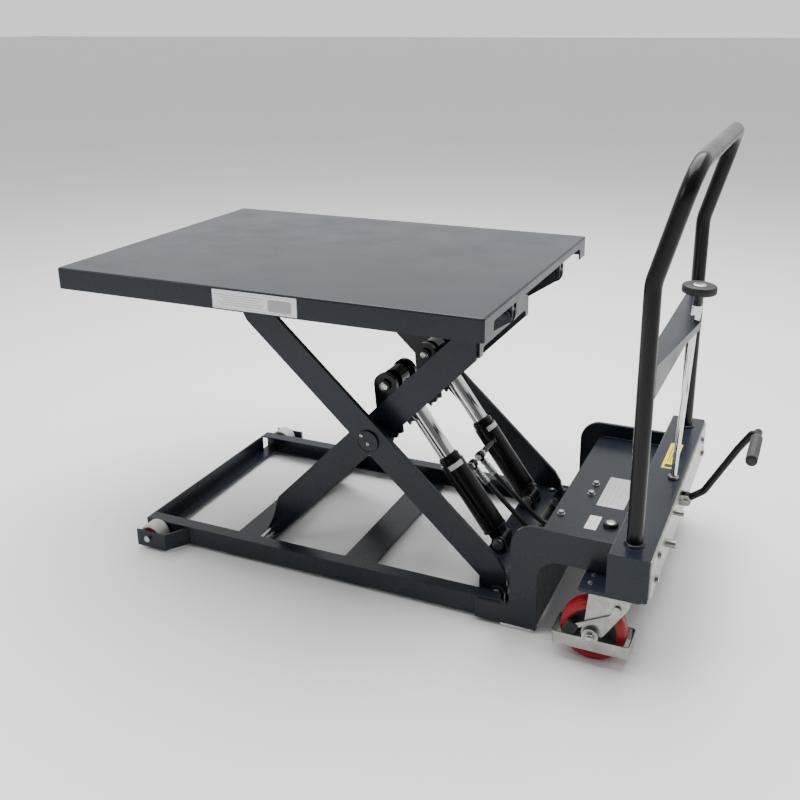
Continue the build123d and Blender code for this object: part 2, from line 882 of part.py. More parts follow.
def ferrule_plane(side):
    """The crimped ferrule's lower face: its normal points down the hose."""
    start, after = hose_route(side)[:2]
    return Plane(origin=start, z_dir=tuple(b - a for a, b in zip(start, after)))


def hose_start(side):
    """Across the table, where a side's hose leaves its elbow."""
    return hose_start_y["near" if side < 0 else "far"]


hose_exit_z = 96.0
hose_exit_y = {"near": -44.0, "far": 24.0}
hose_split = {"near": -52.0, "far": 14.0}


def hose_route(side):
    """The stretch that swings with the cylinder, from its ferrule to beside the lower pin."""
    end_y = hose_split["near" if side < 0 else "far"]
    start_y = hose_start(side)
    middle_y = start_y + 0.42 * (end_y - start_y)
    return [
        beside_cylinder(172, 15, start_y),
        beside_cylinder(88, 24, middle_y),
        beside_cylinder(4, 36, end_y),
    ]


def hose_tail(side):
    """The stretch that stays on the base, from beside the lower pin to the union on the wall."""
    exit_y = hose_exit_y["near" if side < 0 else "far"]
    before, split = [Vector(*point) for point in hose_route(side)[1:]]
    onward = (split - before).normalized()
    start, first = split + onward, split + onward * 40
    return [
        start,
        first,
        Vector(347.0, (first.Y + exit_y) / 2, hose_exit_z + 5.0),
        Vector(375.0, exit_y, hose_exit_z),
        Vector(wall_x - 8, exit_y, hose_exit_z),
    ]


def make_hose(name, points):
    """A hose along straight runs joined by tangent arcs."""
    vectors = [Vector(point) for point in points]
    runs = [b - a for a, b in zip(vectors, vectors[1:])]
    turns = [a.get_angle(b) for a, b in zip(runs, runs[1:])]
    radii = [
        0.45 * min(a.length, b.length) / tan(radians(turn) / 2)
        for a, b, turn in zip(runs, runs[1:], turns)
    ]
    with BuildPart() as hose:
        with BuildLine() as path:
            FilletPolyline(vectors, radius=radii)
        with BuildSketch(Plane(origin=vectors[0], z_dir=runs[0])):
            Circle(hose_radius)
        sweep(path=path.wires()[0])
    length = path.wires()[0].length
    share = hose.part.volume / (3.14159265 * hose_radius**2 * length)
    print(name, "radii", [round(r) for r in radii], "length", round(length), "volume share", round(share, 4))
    write(name, hose)


# ---- Casters ----------------------------------------------------------------------------


def make_caster_fork(name, side):
    """Zinc swivel fork with its axle and the foot guard strap around the wheel."""
    y = side * caster_y
    top = caster_plate_top - caster_plate_sheet - 0.4
    leg_inner, leg = 28.0, 4.0
    strap_inner, strap = 39.0, 3.0
    with BuildPart() as fork:
        with BuildSketch(Plane.XY.offset(top - 14)):
            with Locations((swivel_x, y)):
                Circle(36)
        extrude(amount=14)
        with BuildSketch(Plane.XY.offset(top - 18)):
            with Locations((613, y)):
                RectangleRounded(98, 2 * (leg_inner + leg), 8)
        extrude(amount=5)
        for direction in (-1, 1):
            with BuildSketch(at_y(y + direction * leg_inner)):
                with BuildLine():
                    Polyline(
                        [
                            (564, top - 14),
                            (662, top - 14),
                            (658, top - 34),
                            (wheel_x + 26, wheel_z - 4),
                            (wheel_x - 24, wheel_z - 4),
                            (wheel_x - 16, wheel_z + 40),
                        ],
                        close=True,
                    )
                make_face()
                with Locations((wheel_x, wheel_z)):
                    Circle(24)
            extrude_y(direction * leg)
            with BuildSketch(at_y(y + direction * (leg_inner + leg))):
                with Locations((wheel_x, wheel_z)):
                    Circle(20)
            extrude_y(direction * (strap_inner - leg_inner - leg + strap + 2))
            with BuildSketch(at_y(y + direction * (strap_inner + strap))):
                with Locations((wheel_x, wheel_z)):
                    RegularPolygon(12, 6)
            extrude_y(direction * 9)
        with BuildSketch(Plane.XY.offset(40)):
            with Locations((wheel_x, y)):
                RectangleRounded(186, 2 * (strap_inner + strap), 10)
                RectangleRounded(180, 2 * strap_inner, 7, mode=Mode.SUBTRACT)
        extrude(amount=32)
        with BuildSketch(at_y(y)):
            with Locations((wheel_x, wheel_z)):
                Circle(9)
        extrude(amount=leg_inner + 2, both=True)
    write(name, fork)


def make_caster_wheel(name, side):
    """Wheel with a rounded tyre, recessed sides and a hub that turns on the axle."""
    y = side * caster_y
    half = wheel_width / 2
    hub_half = 27.0
    with BuildPart() as wheel:
        with BuildSketch(at_y(y)):
            with Locations((wheel_x, wheel_z)):
                Circle(wheel_radius)
        extrude(amount=half, both=True)
        fillet(wheel.edges().filter_by(GeomType.CIRCLE), 9)
        for direction in (-1, 1):
            with BuildSketch(at_y(y + direction * (half - 8))):
                with Locations((wheel_x, wheel_z)):
                    Circle(58)
                    Circle(24, mode=Mode.SUBTRACT)
            extrude(amount=-direction * 9, mode=Mode.SUBTRACT)
        with BuildSketch(at_y(y)):
            with Locations((wheel_x, wheel_z)):
                Circle(20)
        extrude(amount=hub_half, both=True)
        with BuildSketch(at_y(y)):
            with Locations((wheel_x, wheel_z)):
                Circle(9 + running_gap)
        extrude(amount=40, both=True, mode=Mode.SUBTRACT)
    write(name, wheel)


def make_brake_lever(name, side):
    """Foot brake: a bar along the outside of the fork with a knurled pad over the tyre's edge."""
    inner = side * (caster_y + 32.4)
    bar = [(632, 162), (621, 139), (536, 95)]
    with BuildPart() as lever:
        for start, end in zip(bar, bar[1:]):
            with BuildSketch(at_y(inner)):
                with Locations(((start[0] + end[0]) / 2, (start[1] + end[1]) / 2)):
                    reach = hypot(end[0] - start[0], end[1] - start[1])
                    turn = degrees(atan2(end[1] - start[1], end[0] - start[0]))
                    SlotOverall(reach + 12, 12, rotation=turn)
            extrude_y(side * 4)
        with BuildSketch(at_y(inner)):
            with Locations((524, 86)):
                RectangleRounded(30, 36, 6, rotation=-25)
        extrude_y(side * 6)
        with BuildSketch(at_y(inner)):
            with Locations((632, 162)):
                Circle(9)
        extrude_y(side * 6)
    write(name, lever)


# ---- Release knob and foot pedal --------------------------------------------------------


def release_plane():
    """A plane square to the release rod at the beam's top, its normal pointing up the rod."""
    along = tuple(b - a for a, b in zip(rod_foot, rod_head))
    return Plane(origin=rod_foot, x_dir=(0, 1, 0), z_dir=along)


release_height = hypot(rod_head[0] - rod_foot[0], rod_head[2] - rod_foot[2])


def make_release_rod():
    """Chrome rod from inside the beam, with a hexagon coupler above the bracket."""
    coupler_start = bracket_z - rod_foot[2] + 3
    plane = release_plane()
    with BuildPart() as rod:
        with BuildSketch(plane.offset(-80)):
            Circle(8)
        extrude(amount=80 + coupler_start)
        with BuildSketch(plane.offset(coupler_start)):
            RegularPolygon(13, 6)
        extrude(amount=36)
    write("release_rod", rod)


def make_release_knob():
    """Round grip with a neck that screws on to the coupler."""
    coupler_end = bracket_z - rod_foot[2] + 39
    grip_start, grip_thick = release_height - 11, 22.0
    plane = release_plane()
    with BuildPart() as knob:
        with BuildSketch(plane.offset(coupler_end)):
            Circle(11)
        extrude(amount=grip_start - coupler_end)
        with BuildSketch(plane.offset(grip_start)):
            Circle(42)
        extrude(amount=grip_thick)
        fillet(knob.edges().filter_by(GeomType.CIRCLE).group_by(SortBy.RADIUS)[-1], 3)
    write("release_knob", knob)


def make_pedal_lever():
    """Cranked foot lever: hub, and a round bar that rises to the grip."""
    hub_x, hub_y, hub_z = pedal_hub
    route = [
        (hub_x + 6, hub_y, hub_z + 4),
        (760, hub_y, 308),
        (832, hub_y, 440),
        (860, hub_y, 484),
        (pedal_tip[0] - 3, hub_y, pedal_tip[1]),
    ]
    with BuildPart() as lever:
        with BuildLine() as path:
            FilletPolyline(route, radius=[30, 60, 10])
        start = Vector(*route[0])
        with BuildSketch(Plane(origin=start, z_dir=Vector(*route[1]) - start)):
            Circle(9)
        sweep(path=path.wires()[0])
        with BuildSketch(at_y(hub_y)):
            with Locations((hub_x, hub_z)):
                Circle(12.5)
        extrude(amount=11.5, both=True)
        with BuildSketch(at_y(hub_y + 10)):
            with Locations(pedal_tip):
                Circle(10.5)
        extrude_y(-36)
        with BuildSketch(at_y(hub_y)):
            with Locations((hub_x, hub_z)):
                Circle(6 + running_gap)
        extrude(amount=15, both=True, mode=Mode.SUBTRACT)
    write("pedal_lever", lever)


def make_pedal_grip():
    """Rubber sleeve across the end of the foot lever."""
    start, length = pedal_hub[1] - 26, 139.0
    with BuildPart() as grip:
        with BuildSketch(at_y(start)):
            with Locations(pedal_tip):
                Circle(14)
        extrude_y(-length)
        fillet(grip.edges().sort_by(Axis.Y)[0], 3)
    write("pedal_grip", grip)


# ---- Build everything -------------------------------------------------------------------

make_platform_deck()
make_platform_tracks()
make_platform_brackets()
make_platform_pins()
make_centre_pins()
make_roller_axle("outer_roller_axle", upper_roller, outer_arm_y - 0.1, 18, 313)
make_roller_axle("inner_roller_axle", lower_roller, inner_arm_y - 0.1, 15, 326)
make_inner_cross_beam()
make_cylinder_lugs()
make_inner_end_plate()
make_end_member()
make_cross_plates()
make_gooseneck_wall()
make_cover_plate()
make_rear_beam()
make_back_plate()
make_mount_webs()
make_cylinder_mount()
make_arm_pivot_brackets()
make_base_pins()
make_roller_brackets()
make_roller_bolts()
make_pump_unit()
make_frame_bolts()
make_filler_cap()
make_caster_plates()
make_push_handle()
make_handle_bracket()
make_release_rod()
make_release_knob()
make_pedal_lever()
make_pedal_grip()
for tag, side in SIDES.items():
    make_outer_arm(f"outer_arm_{tag}", side)
    make_inner_arm(f"inner_arm_{tag}", side)
    make_scissor_roller(f"upper_roller_{tag}", side, upper_roller, 281, 31)
    make_scissor_roller(f"lower_roller_{tag}", side, lower_roller, 298, 27)
    make_base_rail(f"base_rail_{tag}", side)
    make_side_plate(f"side_plate_{tag}", side)
    make_front_roller(f"front_roller_{tag}", side)
    make_cylinder_barrel(f"cylinder_barrel_{tag}", side)
    make_cylinder_rod(f"cylinder_rod_{tag}", side)
    make_hose(f"hose_upper_{tag}", hose_route(side))
    make_hose(f"hose_lower_{tag}", hose_tail(side))
    make_caster_fork(f"caster_fork_{tag}", side)
    make_caster_wheel(f"caster_wheel_{tag}", side)
    make_brake_lever(f"brake_lever_{tag}", side)
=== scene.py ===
import json
from math import cos, pi, radians, sin
import bmesh
import bpy
from mathutils import Matrix, Vector


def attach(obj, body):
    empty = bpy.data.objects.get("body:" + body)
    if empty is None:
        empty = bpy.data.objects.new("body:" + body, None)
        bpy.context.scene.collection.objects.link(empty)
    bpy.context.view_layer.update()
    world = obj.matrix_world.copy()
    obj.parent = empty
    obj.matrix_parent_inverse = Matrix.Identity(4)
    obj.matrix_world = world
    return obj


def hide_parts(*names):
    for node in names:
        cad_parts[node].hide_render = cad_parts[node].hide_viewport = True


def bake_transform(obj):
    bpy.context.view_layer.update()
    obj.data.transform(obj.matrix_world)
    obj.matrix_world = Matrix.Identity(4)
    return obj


# Looks for the mobile scissor lift table. Sizes here are in millimetres, as in the CAD
# source, and mm() turns them into the metres that every Blender object is built in.
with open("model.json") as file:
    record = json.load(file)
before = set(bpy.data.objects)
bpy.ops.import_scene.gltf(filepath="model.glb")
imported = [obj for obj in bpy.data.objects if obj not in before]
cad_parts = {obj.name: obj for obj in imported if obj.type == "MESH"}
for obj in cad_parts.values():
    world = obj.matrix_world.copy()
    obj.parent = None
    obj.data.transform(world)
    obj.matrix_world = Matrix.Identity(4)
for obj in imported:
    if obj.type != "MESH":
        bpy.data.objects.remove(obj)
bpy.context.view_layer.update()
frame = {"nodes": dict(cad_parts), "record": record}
SIDES = {"near": -1, "far": 1}


def mm(x, y, z):
    return Vector((x, y, z)) / 1000


# ---- Camera -----------------------------------------------------------------------------


def make_camera():
    """The photograph's viewpoint."""
    azimuth, elevation, roll = radians(23.691), radians(18.544), radians(-0.4194)
    back = Vector((sin(azimuth) * cos(elevation), -cos(azimuth) * cos(elevation), sin(elevation)))
    level = (-back).cross(Vector((0, 0, 1))).normalized()
    upright = level.cross(-back)
    right = level * cos(roll) + upright * sin(roll)
    up = upright * cos(roll) - level * sin(roll)
    data = bpy.data.cameras.new("camera")
    data.sensor_width = 36
    data.lens = 43.375
    data.shift_x, data.shift_y = -0.0236, -0.0781
    camera = bpy.data.objects.new("camera", data)
    turned = Matrix((right, up, back)).transposed().to_4x4()
    camera.matrix_world = Matrix.Translation((0.9834, -2.3270, 1.4670)) @ turned
    bpy.context.scene.collection.objects.link(camera)
    bpy.context.scene.camera = camera


make_camera()


# ---- Materials --------------------------------------------------------------------------


def look(name, colour, second, rough, metal=0.0, shine=0.5, blotch=6.0, grain=900.0, relief=0.02,
         stretch=(1, 1, 1), rounded=0.0):
    """A finish: two mixed tones, a roughness range, and fine surface relief at its real scale.

    shine is the shader's specular level, blotch and grain are cycles per metre, relief is
    the grain's depth in millimetres, and rounded is the radius in millimetres that sharp
    edges catch the light with.
    """
    material = bpy.data.materials.new(name)
    material.use_nodes = True
    nodes, links = material.node_tree.nodes, material.node_tree.links
    shader = nodes["Principled BSDF"]
    shader.inputs["Metallic"].default_value = metal
    shader.inputs["Specular IOR Level"].default_value = shine
    place = nodes.new("ShaderNodeTexCoord")
    scaled = nodes.new("ShaderNodeMapping")
    scaled.inputs["Scale"].default_value = stretch
    links.new(place.outputs["Object"], scaled.inputs["Vector"])

    def noise(scale, detail):
        node = nodes.new("ShaderNodeTexNoise")
        node.inputs["Scale"].default_value = scale
        node.inputs["Detail"].default_value = detail
        links.new(scaled.outputs["Vector"], node.inputs["Vector"])
        return node.outputs["Fac"]

    tones = nodes.new("ShaderNodeValToRGB")
    tones.color_ramp.elements[0].position = 0.3
    tones.color_ramp.elements[0].color = (*colour, 1)
    tones.color_ramp.elements[1].position = 0.72
    tones.color_ramp.elements[1].color = (*second, 1)
    links.new(noise(blotch, 4), tones.inputs["Fac"])
    links.new(tones.outputs["Color"], shader.inputs["Base Color"])

    gloss = nodes.new("ShaderNodeMapRange")
    gloss.inputs["From Min"].default_value = 0.3
    gloss.inputs["From Max"].default_value = 0.7
    gloss.inputs["To Min"].default_value = rough[0]
    gloss.inputs["To Max"].default_value = rough[1]
    links.new(noise(blotch * 3.1, 6), gloss.inputs["Value"])
    links.new(gloss.outputs["Result"], shader.inputs["Roughness"])

    bump = nodes.new("ShaderNodeBump")
    bump.inputs["Distance"].default_value = relief / 1000
    bump.inputs["Strength"].default_value = 0.6
    links.new(noise(grain, 3), bump.inputs["Height"])
    if rounded:
        edge = nodes.new("ShaderNodeBevel")
        edge.samples = 4
        edge.inputs["Radius"].default_value = rounded / 1000
        links.new(edge.outputs["Normal"], bump.inputs["Normal"])
    links.new(bump.outputs["Normal"], shader.inputs["Normal"])
    return material


LOOKS = {
    "painted_steel": look("powder_coat", (0.011, 0.015, 0.023), (0.016, 0.021, 0.031), (0.22, 0.32),
                          shine=0.28, blotch=3.0, grain=420, relief=0.012, rounded=1.2),
    "black_paint": look("black_paint", (0.0040, 0.0042, 0.0048), (0.0065, 0.0068, 0.0076), (0.18, 0.28),
                        shine=0.24, blotch=5.0, grain=500, relief=0.012, rounded=1.0),
    "zinc": look("zinc_plate", (0.28, 0.28, 0.26), (0.40, 0.40, 0.375), (0.26, 0.44),
                 metal=1.0, blotch=38.0, grain=1500, relief=0.03, rounded=0.8),
    "chrome": look("chrome", (0.70, 0.70, 0.705), (0.78, 0.78, 0.785), (0.05, 0.13),
                   metal=1.0, blotch=14.0, grain=2500, relief=0.004, stretch=(1, 1, 0.25)),
    "steel": look("bright_steel", (0.42, 0.42, 0.42), (0.56, 0.56, 0.56), (0.22, 0.38),
                  metal=1.0, blotch=60.0, grain=2200, relief=0.02, rounded=0.5),
    "hose": look("hose_rubber", (0.010, 0.010, 0.011), (0.017, 0.017, 0.018), (0.42, 0.56),
                 blotch=30.0, grain=1300, relief=0.06),
    "tyre": look("red_tyre", (0.26, 0.004, 0.010), (0.34, 0.007, 0.015), (0.30, 0.42),
                 shine=0.3, blotch=26.0, grain=900, relief=0.03),
    "wheel_hub": look("black_hub", (0.010, 0.010, 0.011), (0.016, 0.016, 0.017), (0.38, 0.50),
                      blotch=40.0, grain=1400, relief=0.05),
    "roller": look("pale_roller", (0.52, 0.51, 0.48), (0.60, 0.585, 0.56), (0.34, 0.48),
                   blotch=34.0, grain=1100, relief=0.05),
    "roller_hub": look("red_hub", (0.36, 0.016, 0.022), (0.44, 0.022, 0.028), (0.32, 0.44),
                       blotch=40.0, grain=1200, relief=0.03),
    "knob": look("black_plastic", (0.006, 0.006, 0.0065), (0.010, 0.010, 0.0105), (0.42, 0.55),
                 blotch=50.0, grain=1800, relief=0.06),
    "grip": look("grey_rubber", (0.045, 0.044, 0.042), (0.068, 0.066, 0.063), (0.48, 0.62),
                 blotch=44.0, grain=1500, relief=0.08),
    "label_white": look("white_label", (0.86, 0.86, 0.88), (0.90, 0.90, 0.92), (0.30, 0.38),
                        blotch=20.0, grain=900, relief=0.01),
    "label_grey": look("label_print", (0.36, 0.36, 0.38), (0.44, 0.44, 0.46), (0.34, 0.42),
                       blotch=300.0, grain=900, relief=0.01),
    "label_yellow": look("yellow_label", (0.88, 0.70, 0.005), (0.92, 0.76, 0.01), (0.30, 0.38),
                         blotch=20.0, grain=900, relief=0.01),
    "label_silver": look("data_plate", (0.58, 0.58, 0.60), (0.68, 0.68, 0.70), (0.26, 0.36),
                         metal=0.75, blotch=30.0, grain=1400, relief=0.01, stretch=(0.15, 1, 1)),
}


def node_finish(node):
    """The record's material slot of a CAD node, which is also its finish here."""
    return next(part["material_slot"] for part in frame["record"]["subparts"] if part["node"] == node)


for name, item in frame["nodes"].items():
    for place in item.material_slots:
        place.material = LOOKS[node_finish(name)]


# ---- Mesh pieces ------------------------------------------------------------------------


def add_piece(name, mesh, body, finishes, crease=38):
    """Turn a bmesh into a smooth-shaded piece that rides on a body, with sharp edges kept."""
    bmesh.ops.recalc_face_normals(mesh, faces=mesh.faces[:])
    for face in mesh.faces:
        face.smooth = True
    for edge in mesh.edges:
        edge.smooth = len(edge.link_faces) == 2 and edge.calc_face_angle(0) < radians(crease)
    data = bpy.data.meshes.new(name)
    mesh.to_mesh(data)
    mesh.free()
    for finish in finishes:
        data.materials.append(LOOKS[finish])
    piece = bpy.data.objects.new(name, data)
    bpy.context.scene.collection.objects.link(piece)
    if body:
        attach(piece, body)
    return piece


def ring_radius(radius, shape, angle):
    """A ring's radius at an angle: round, hexagonal, knurled, or ribbed like a grip."""
    if shape == "hex":
        return radius * cos(pi / 6) / cos(angle % (pi / 3) - pi / 6)
    if shape == "knurl":
        return radius * (1 - 0.022 * (0.5 + 0.5 * cos(36 * angle)))
    if shape == "scallop":
        return radius * (1 - 0.05 * (0.5 + 0.5 * cos(12 * angle)) ** 3)
    return radius


def turn(name, rings, base, axis, body, finish, closed=False, sides=96):
    """A turned piece: rings are (radius, height along the axis, shape), joined in order.

    A closed piece joins its last ring to its first; otherwise each end is capped.
    """
    lean = Vector(axis).to_track_quat("Z", "Y")
    mesh = bmesh.new()
    loops = []
    for radius, height, *shape in rings:
        kind = shape[0] if shape else "round"
        loop = []
        for step in range(sides):
            angle = 2 * pi * step / sides
            reach = ring_radius(radius, kind, angle)
            spot = lean @ Vector((reach * cos(angle), reach * sin(angle), height))
            loop.append(mesh.verts.new(mm(*(Vector(base) + spot))))
        loops.append(loop)
    pairs = list(zip(loops, loops[1:])) + ([(loops[-1], loops[0])] if closed else [])
    for low, high in pairs:
        for step in range(sides):
            after = (step + 1) % sides
            mesh.faces.new((low[step], low[after], high[after], high[step]))
    if not closed:
        mesh.faces.new(loops[0][::-1])
        mesh.faces.new(loops[-1])
    return add_piece(name, mesh, body, [finish])


def rounded_outline(width, height, corner, steps=6):
    """Points round a rectangle with rounded corners, centred on the origin."""
    points = []
    for quarter, (sx, sy) in enumerate(((1, 1), (-1, 1), (-1, -1), (1, -1))):
        for step in range(steps + 1):
            angle = pi / 2 * (quarter + step / steps)
            points.append((sx * (width / 2 - corner) + corner * cos(angle),
                           sy * (height / 2 - corner) + corner * sin(angle)))
    return points


def slab(mesh, centre, across, up, outline, thick, edge=0.0, finish_index=0):
    """Add a thin flat slab to a mesh, its upper rim eased by edge, in one of its finishes."""
    centre, across, up = Vector(centre), Vector(across), Vector(up)
    out = across.cross(up)
    loops = []
    widest = max(abs(x) for x, _ in outline)
    for inset, height in ((0, 0), (0, thick - edge), (edge, thick)):
        shrink = 1 - inset / widest
        loops.append([mesh.verts.new(mm(*(centre + across * x * shrink + up * y * shrink + out * height)))
                      for x, y in outline])
    count = len(outline)
    faces = [mesh.faces.new(loops[0][::-1]), mesh.faces.new(loops[-1])]
    for low, high in zip(loops, loops[1:]):
        for step in range(count):
            after = (step + 1) % count
            faces.append(mesh.faces.new((low[step], low[after], high[after], high[step])))
    for face in faces:
        face.material_index = finish_index


LABEL_THICK, LABEL_CORNER, LABEL_EDGE = 0.18, 2.0, 0.05
PRINT_THICK = 0.03


def label(name, centre, across, up, width, height, body, finish, bars,
          print_finish="label_grey"):
    """A thin label with plain printed bars and no lettering.

    bars are (x, y, width, height) about the label's middle.
    """
    mesh = bmesh.new()
    slab(mesh, centre, across, up, rounded_outline(width, height, LABEL_CORNER), LABEL_THICK, LABEL_EDGE)
    out = Vector(across).cross(Vector(up))
    for x, y, wide, high in bars:
        middle = Vector(centre) + Vector(across) * x + Vector(up) * y + out * LABEL_THICK
        bar = rounded_outline(wide, high, min(wide, high) * 0.2, 2)
        slab(mesh, middle, across, up, bar, PRINT_THICK, finish_index=1)
    return add_piece(name, mesh, body, [finish, print_finish])


def sweep_tube(points, radius_at, sides):
    """A mesh tube along points in metres; radius_at gives its radius in metres at each point."""
    mesh = bmesh.new()
    loops = []
    side = None
    for index, point in enumerate(points):
        before, after = points[max(index - 1, 0)], points[min(index + 1, len(points) - 1)]
        along = (after - before).normalized()
        if side is None:
            side = along.orthogonal().normalized()
        side = (side - along * side.dot(along)).normalized()
        other = along.cross(side)
        radius = radius_at(index)
        loops.append([mesh.verts.new(point + (side * cos(a) + other * sin(a)) * radius)
                      for a in (2 * pi * k / sides for k in range(sides))])
    for low, high in zip(loops, loops[1:]):
        for step in range(sides):
            after = (step + 1) % sides
            mesh.faces.new((low[step], low[after], high[after], high[step]))
    mesh.faces.new(loops[0][::-1])
    mesh.faces.new(loops[-1])
    return mesh


def weld(name, corners, body, radius=2.6):
    """A rippled weld bead along straight runs between corners in millimetres."""
    spacing, sides = 0.0016, 10
    points = []
    for start, end in zip(corners, corners[1:]):
        start, end = mm(*start), mm(*end)
        steps = max(2, int((end - start).length / spacing))
        points += [start.lerp(end, step / steps) for step in range(steps + 1)]
    spaced = [points[0]] + [b for a, b in zip(points, points[1:]) if (b - a).length > 1e-5]

    def swell(index):
        taper = min(1.0, 0.35 + 0.2 * min(index, len(spaced) - 1 - index))
        return radius / 1000 * taper * (1 + 0.14 * sin(index * 1.35) + 0.05 * sin(index * 0.31))

    bead = sweep_tube(spaced, swell, sides)
    return add_piece(name, bead, body, ["painted_steel"], crease=80)


def hex_nut(name, base, axis, body, radius, height, finish="steel"):
    """A chamfered hexagon head with a domed thread end."""
    rings = [(radius, 0, "hex"), (radius, height * 0.82, "hex"), (radius * 0.86, height),
             (radius * 0.52, height), (radius * 0.50, height * 1.22), (radius * 0.36, height * 1.34)]
    return turn(name, rings, base, axis, body, finish, sides=48)


def socket_screw(name, base, axis, body, radius, height):
    """A button head with a hexagon socket."""
    rings = [(radius, 0), (radius, height * 0.3), (radius * 0.86, height * 0.75), (radius * 0.62, height),
             (radius * 0.46, height, "hex"), (radius * 0.44, height * 0.4, "hex")]
    return turn(name, rings, base, axis, body, "steel", sides=48)


# ---- Hoses ------------------------------------------------------------------------------

# Each hose leaves its crimped sleeve on the barrel, passes beside the cylinder's lower pin
# and ends in a union on the gooseneck's cross wall. The points are the CAD route's.
HOSES = {
    "near": [(171.9, -66, 266.9), (228.6, -60.1, 204.3), (287.7, -52, 143.4), (315.5, -48.2, 114.9),
             (347, -46.1, 101), (375, -44, 96), (404, -44, 96)],
    "far": [(171.9, -8, 266.9), (228.6, 1.2, 204.3), (287.7, 14, 143.4), (315.3, 19.9, 115.1),
            (347, 22, 101), (375, 24, 96), (404, 24, 96)],
}
HOSE_RADIUS = 0.007


def spline_points(controls):
    """Points along the smooth line that has these control points."""
    curve = bpy.data.curves.new("route", "CURVE")
    curve.dimensions = "3D"
    curve.resolution_u = 14
    spline = curve.splines.new("NURBS")
    spline.points.add(len(controls) - 1)
    for point, control in zip(spline.points, controls):
        point.co = (*mm(*control), 1)
    spline.order_u = 3
    spline.use_endpoint_u = True
    route = bpy.data.objects.new("route", curve)
    bpy.context.scene.collection.objects.link(route)
    line = bpy.data.meshes.new_from_object(route)
    points = [vertex.co.copy() for vertex in line.vertices]
    bpy.data.objects.remove(route)
    bpy.data.curves.remove(curve)
    bpy.data.meshes.remove(line)
    return points


def make_hoses():
    """One tube for each hose, in place of the CAD's two, bending between barrel and base."""
    for tag in SIDES:
        points = spline_points(HOSES[tag])
        tube = sweep_tube(points, lambda index: HOSE_RADIUS, 24)
        hose = add_piece(f"hose_{tag}", tube, None, ["hose"], crease=60)
        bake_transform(hose)
        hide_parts(f"hose_upper_{tag}", f"hose_lower_{tag}")


make_hoses()


ELBOW_X, ELBOW_Z = 150.6, 291


def make_hose_fittings():
    """Crimped sleeves at both ends of each hose, its neck and union, and the barrel's elbow."""
    crimp = [(7.6, 0), (9.8, 0.8), (9.8, 5), (9.3, 6), (9.8, 7), (9.8, 13), (9.3, 14), (9.8, 15),
             (9.8, 22), (9.3, 23), (9.8, 24), (9.8, 33), (7.4, 35)]
    for tag, side in SIDES.items():
        route = [Vector(point) for point in HOSES[tag]]
        down = (route[1] - route[0]).normalized()
        body = f"barrel_{tag}"
        turn(f"hose_sleeve_top_{tag}", crimp, route[0] - down, down, body, "steel", sides=48)
        turn(f"hose_sleeve_low_{tag}", crimp, route[-1] - Vector((43, 0, 0)), (1, 0, 0), "base",
             "steel", sides=48)
        neck = [(7.7, 0), (9.6, 0.5, "hex"), (9.6, 9, "hex"), (7.9, 10), (7.9, 16), (7.7, 17)]
        turn(f"hose_neck_{tag}", neck, route[0] - down * 18, down, body, "steel",
             closed=True, sides=48)
        turn(f"hose_union_{tag}", [(10.5, 0, "hex"), (10.5, 8, "hex"), (9, 9)],
             route[-1] - Vector((8, 0, 0)), (1, 0, 0), "base", "zinc", sides=48)
        elbow = Vector((ELBOW_X, route[0].y - side * 10, ELBOW_Z))
        inwards, outwards = (0, -side, 0), (0, side, 0)
        hex_nut(f"elbow_nut_{tag}", elbow, inwards, body, 9.5, 6)
        eye = [(9.1, 0), (12.5, 0.8), (13.2, 3), (13.2, 15), (12.5, 17.2), (9.1, 18)]
        turn(f"elbow_eye_{tag}", eye, elbow, outwards, body, "black_paint",
             closed=True, sides=64)
        collar = [(9.1, 0), (12, 0.6, "hex"), (12, 9.4, "hex"), (9.1, 10)]
        turn(f"elbow_collar_{tag}", collar, elbow + Vector((0, side * 20, 0)), outwards, body,
             "steel", closed=True, sides=48)
        turn(f"elbow_seat_{tag}", collar, (ELBOW_X, side * 102, ELBOW_Z), inwards, body,
             "black_paint", closed=True, sides=48)


make_hose_fittings()


# ---- Wheels and rollers -----------------------------------------------------------------


CASTER_Y = 368
AXLE_X, AXLE_Z = 574, 80
SWIVEL_X, SWIVEL_Z = 617, 188.4


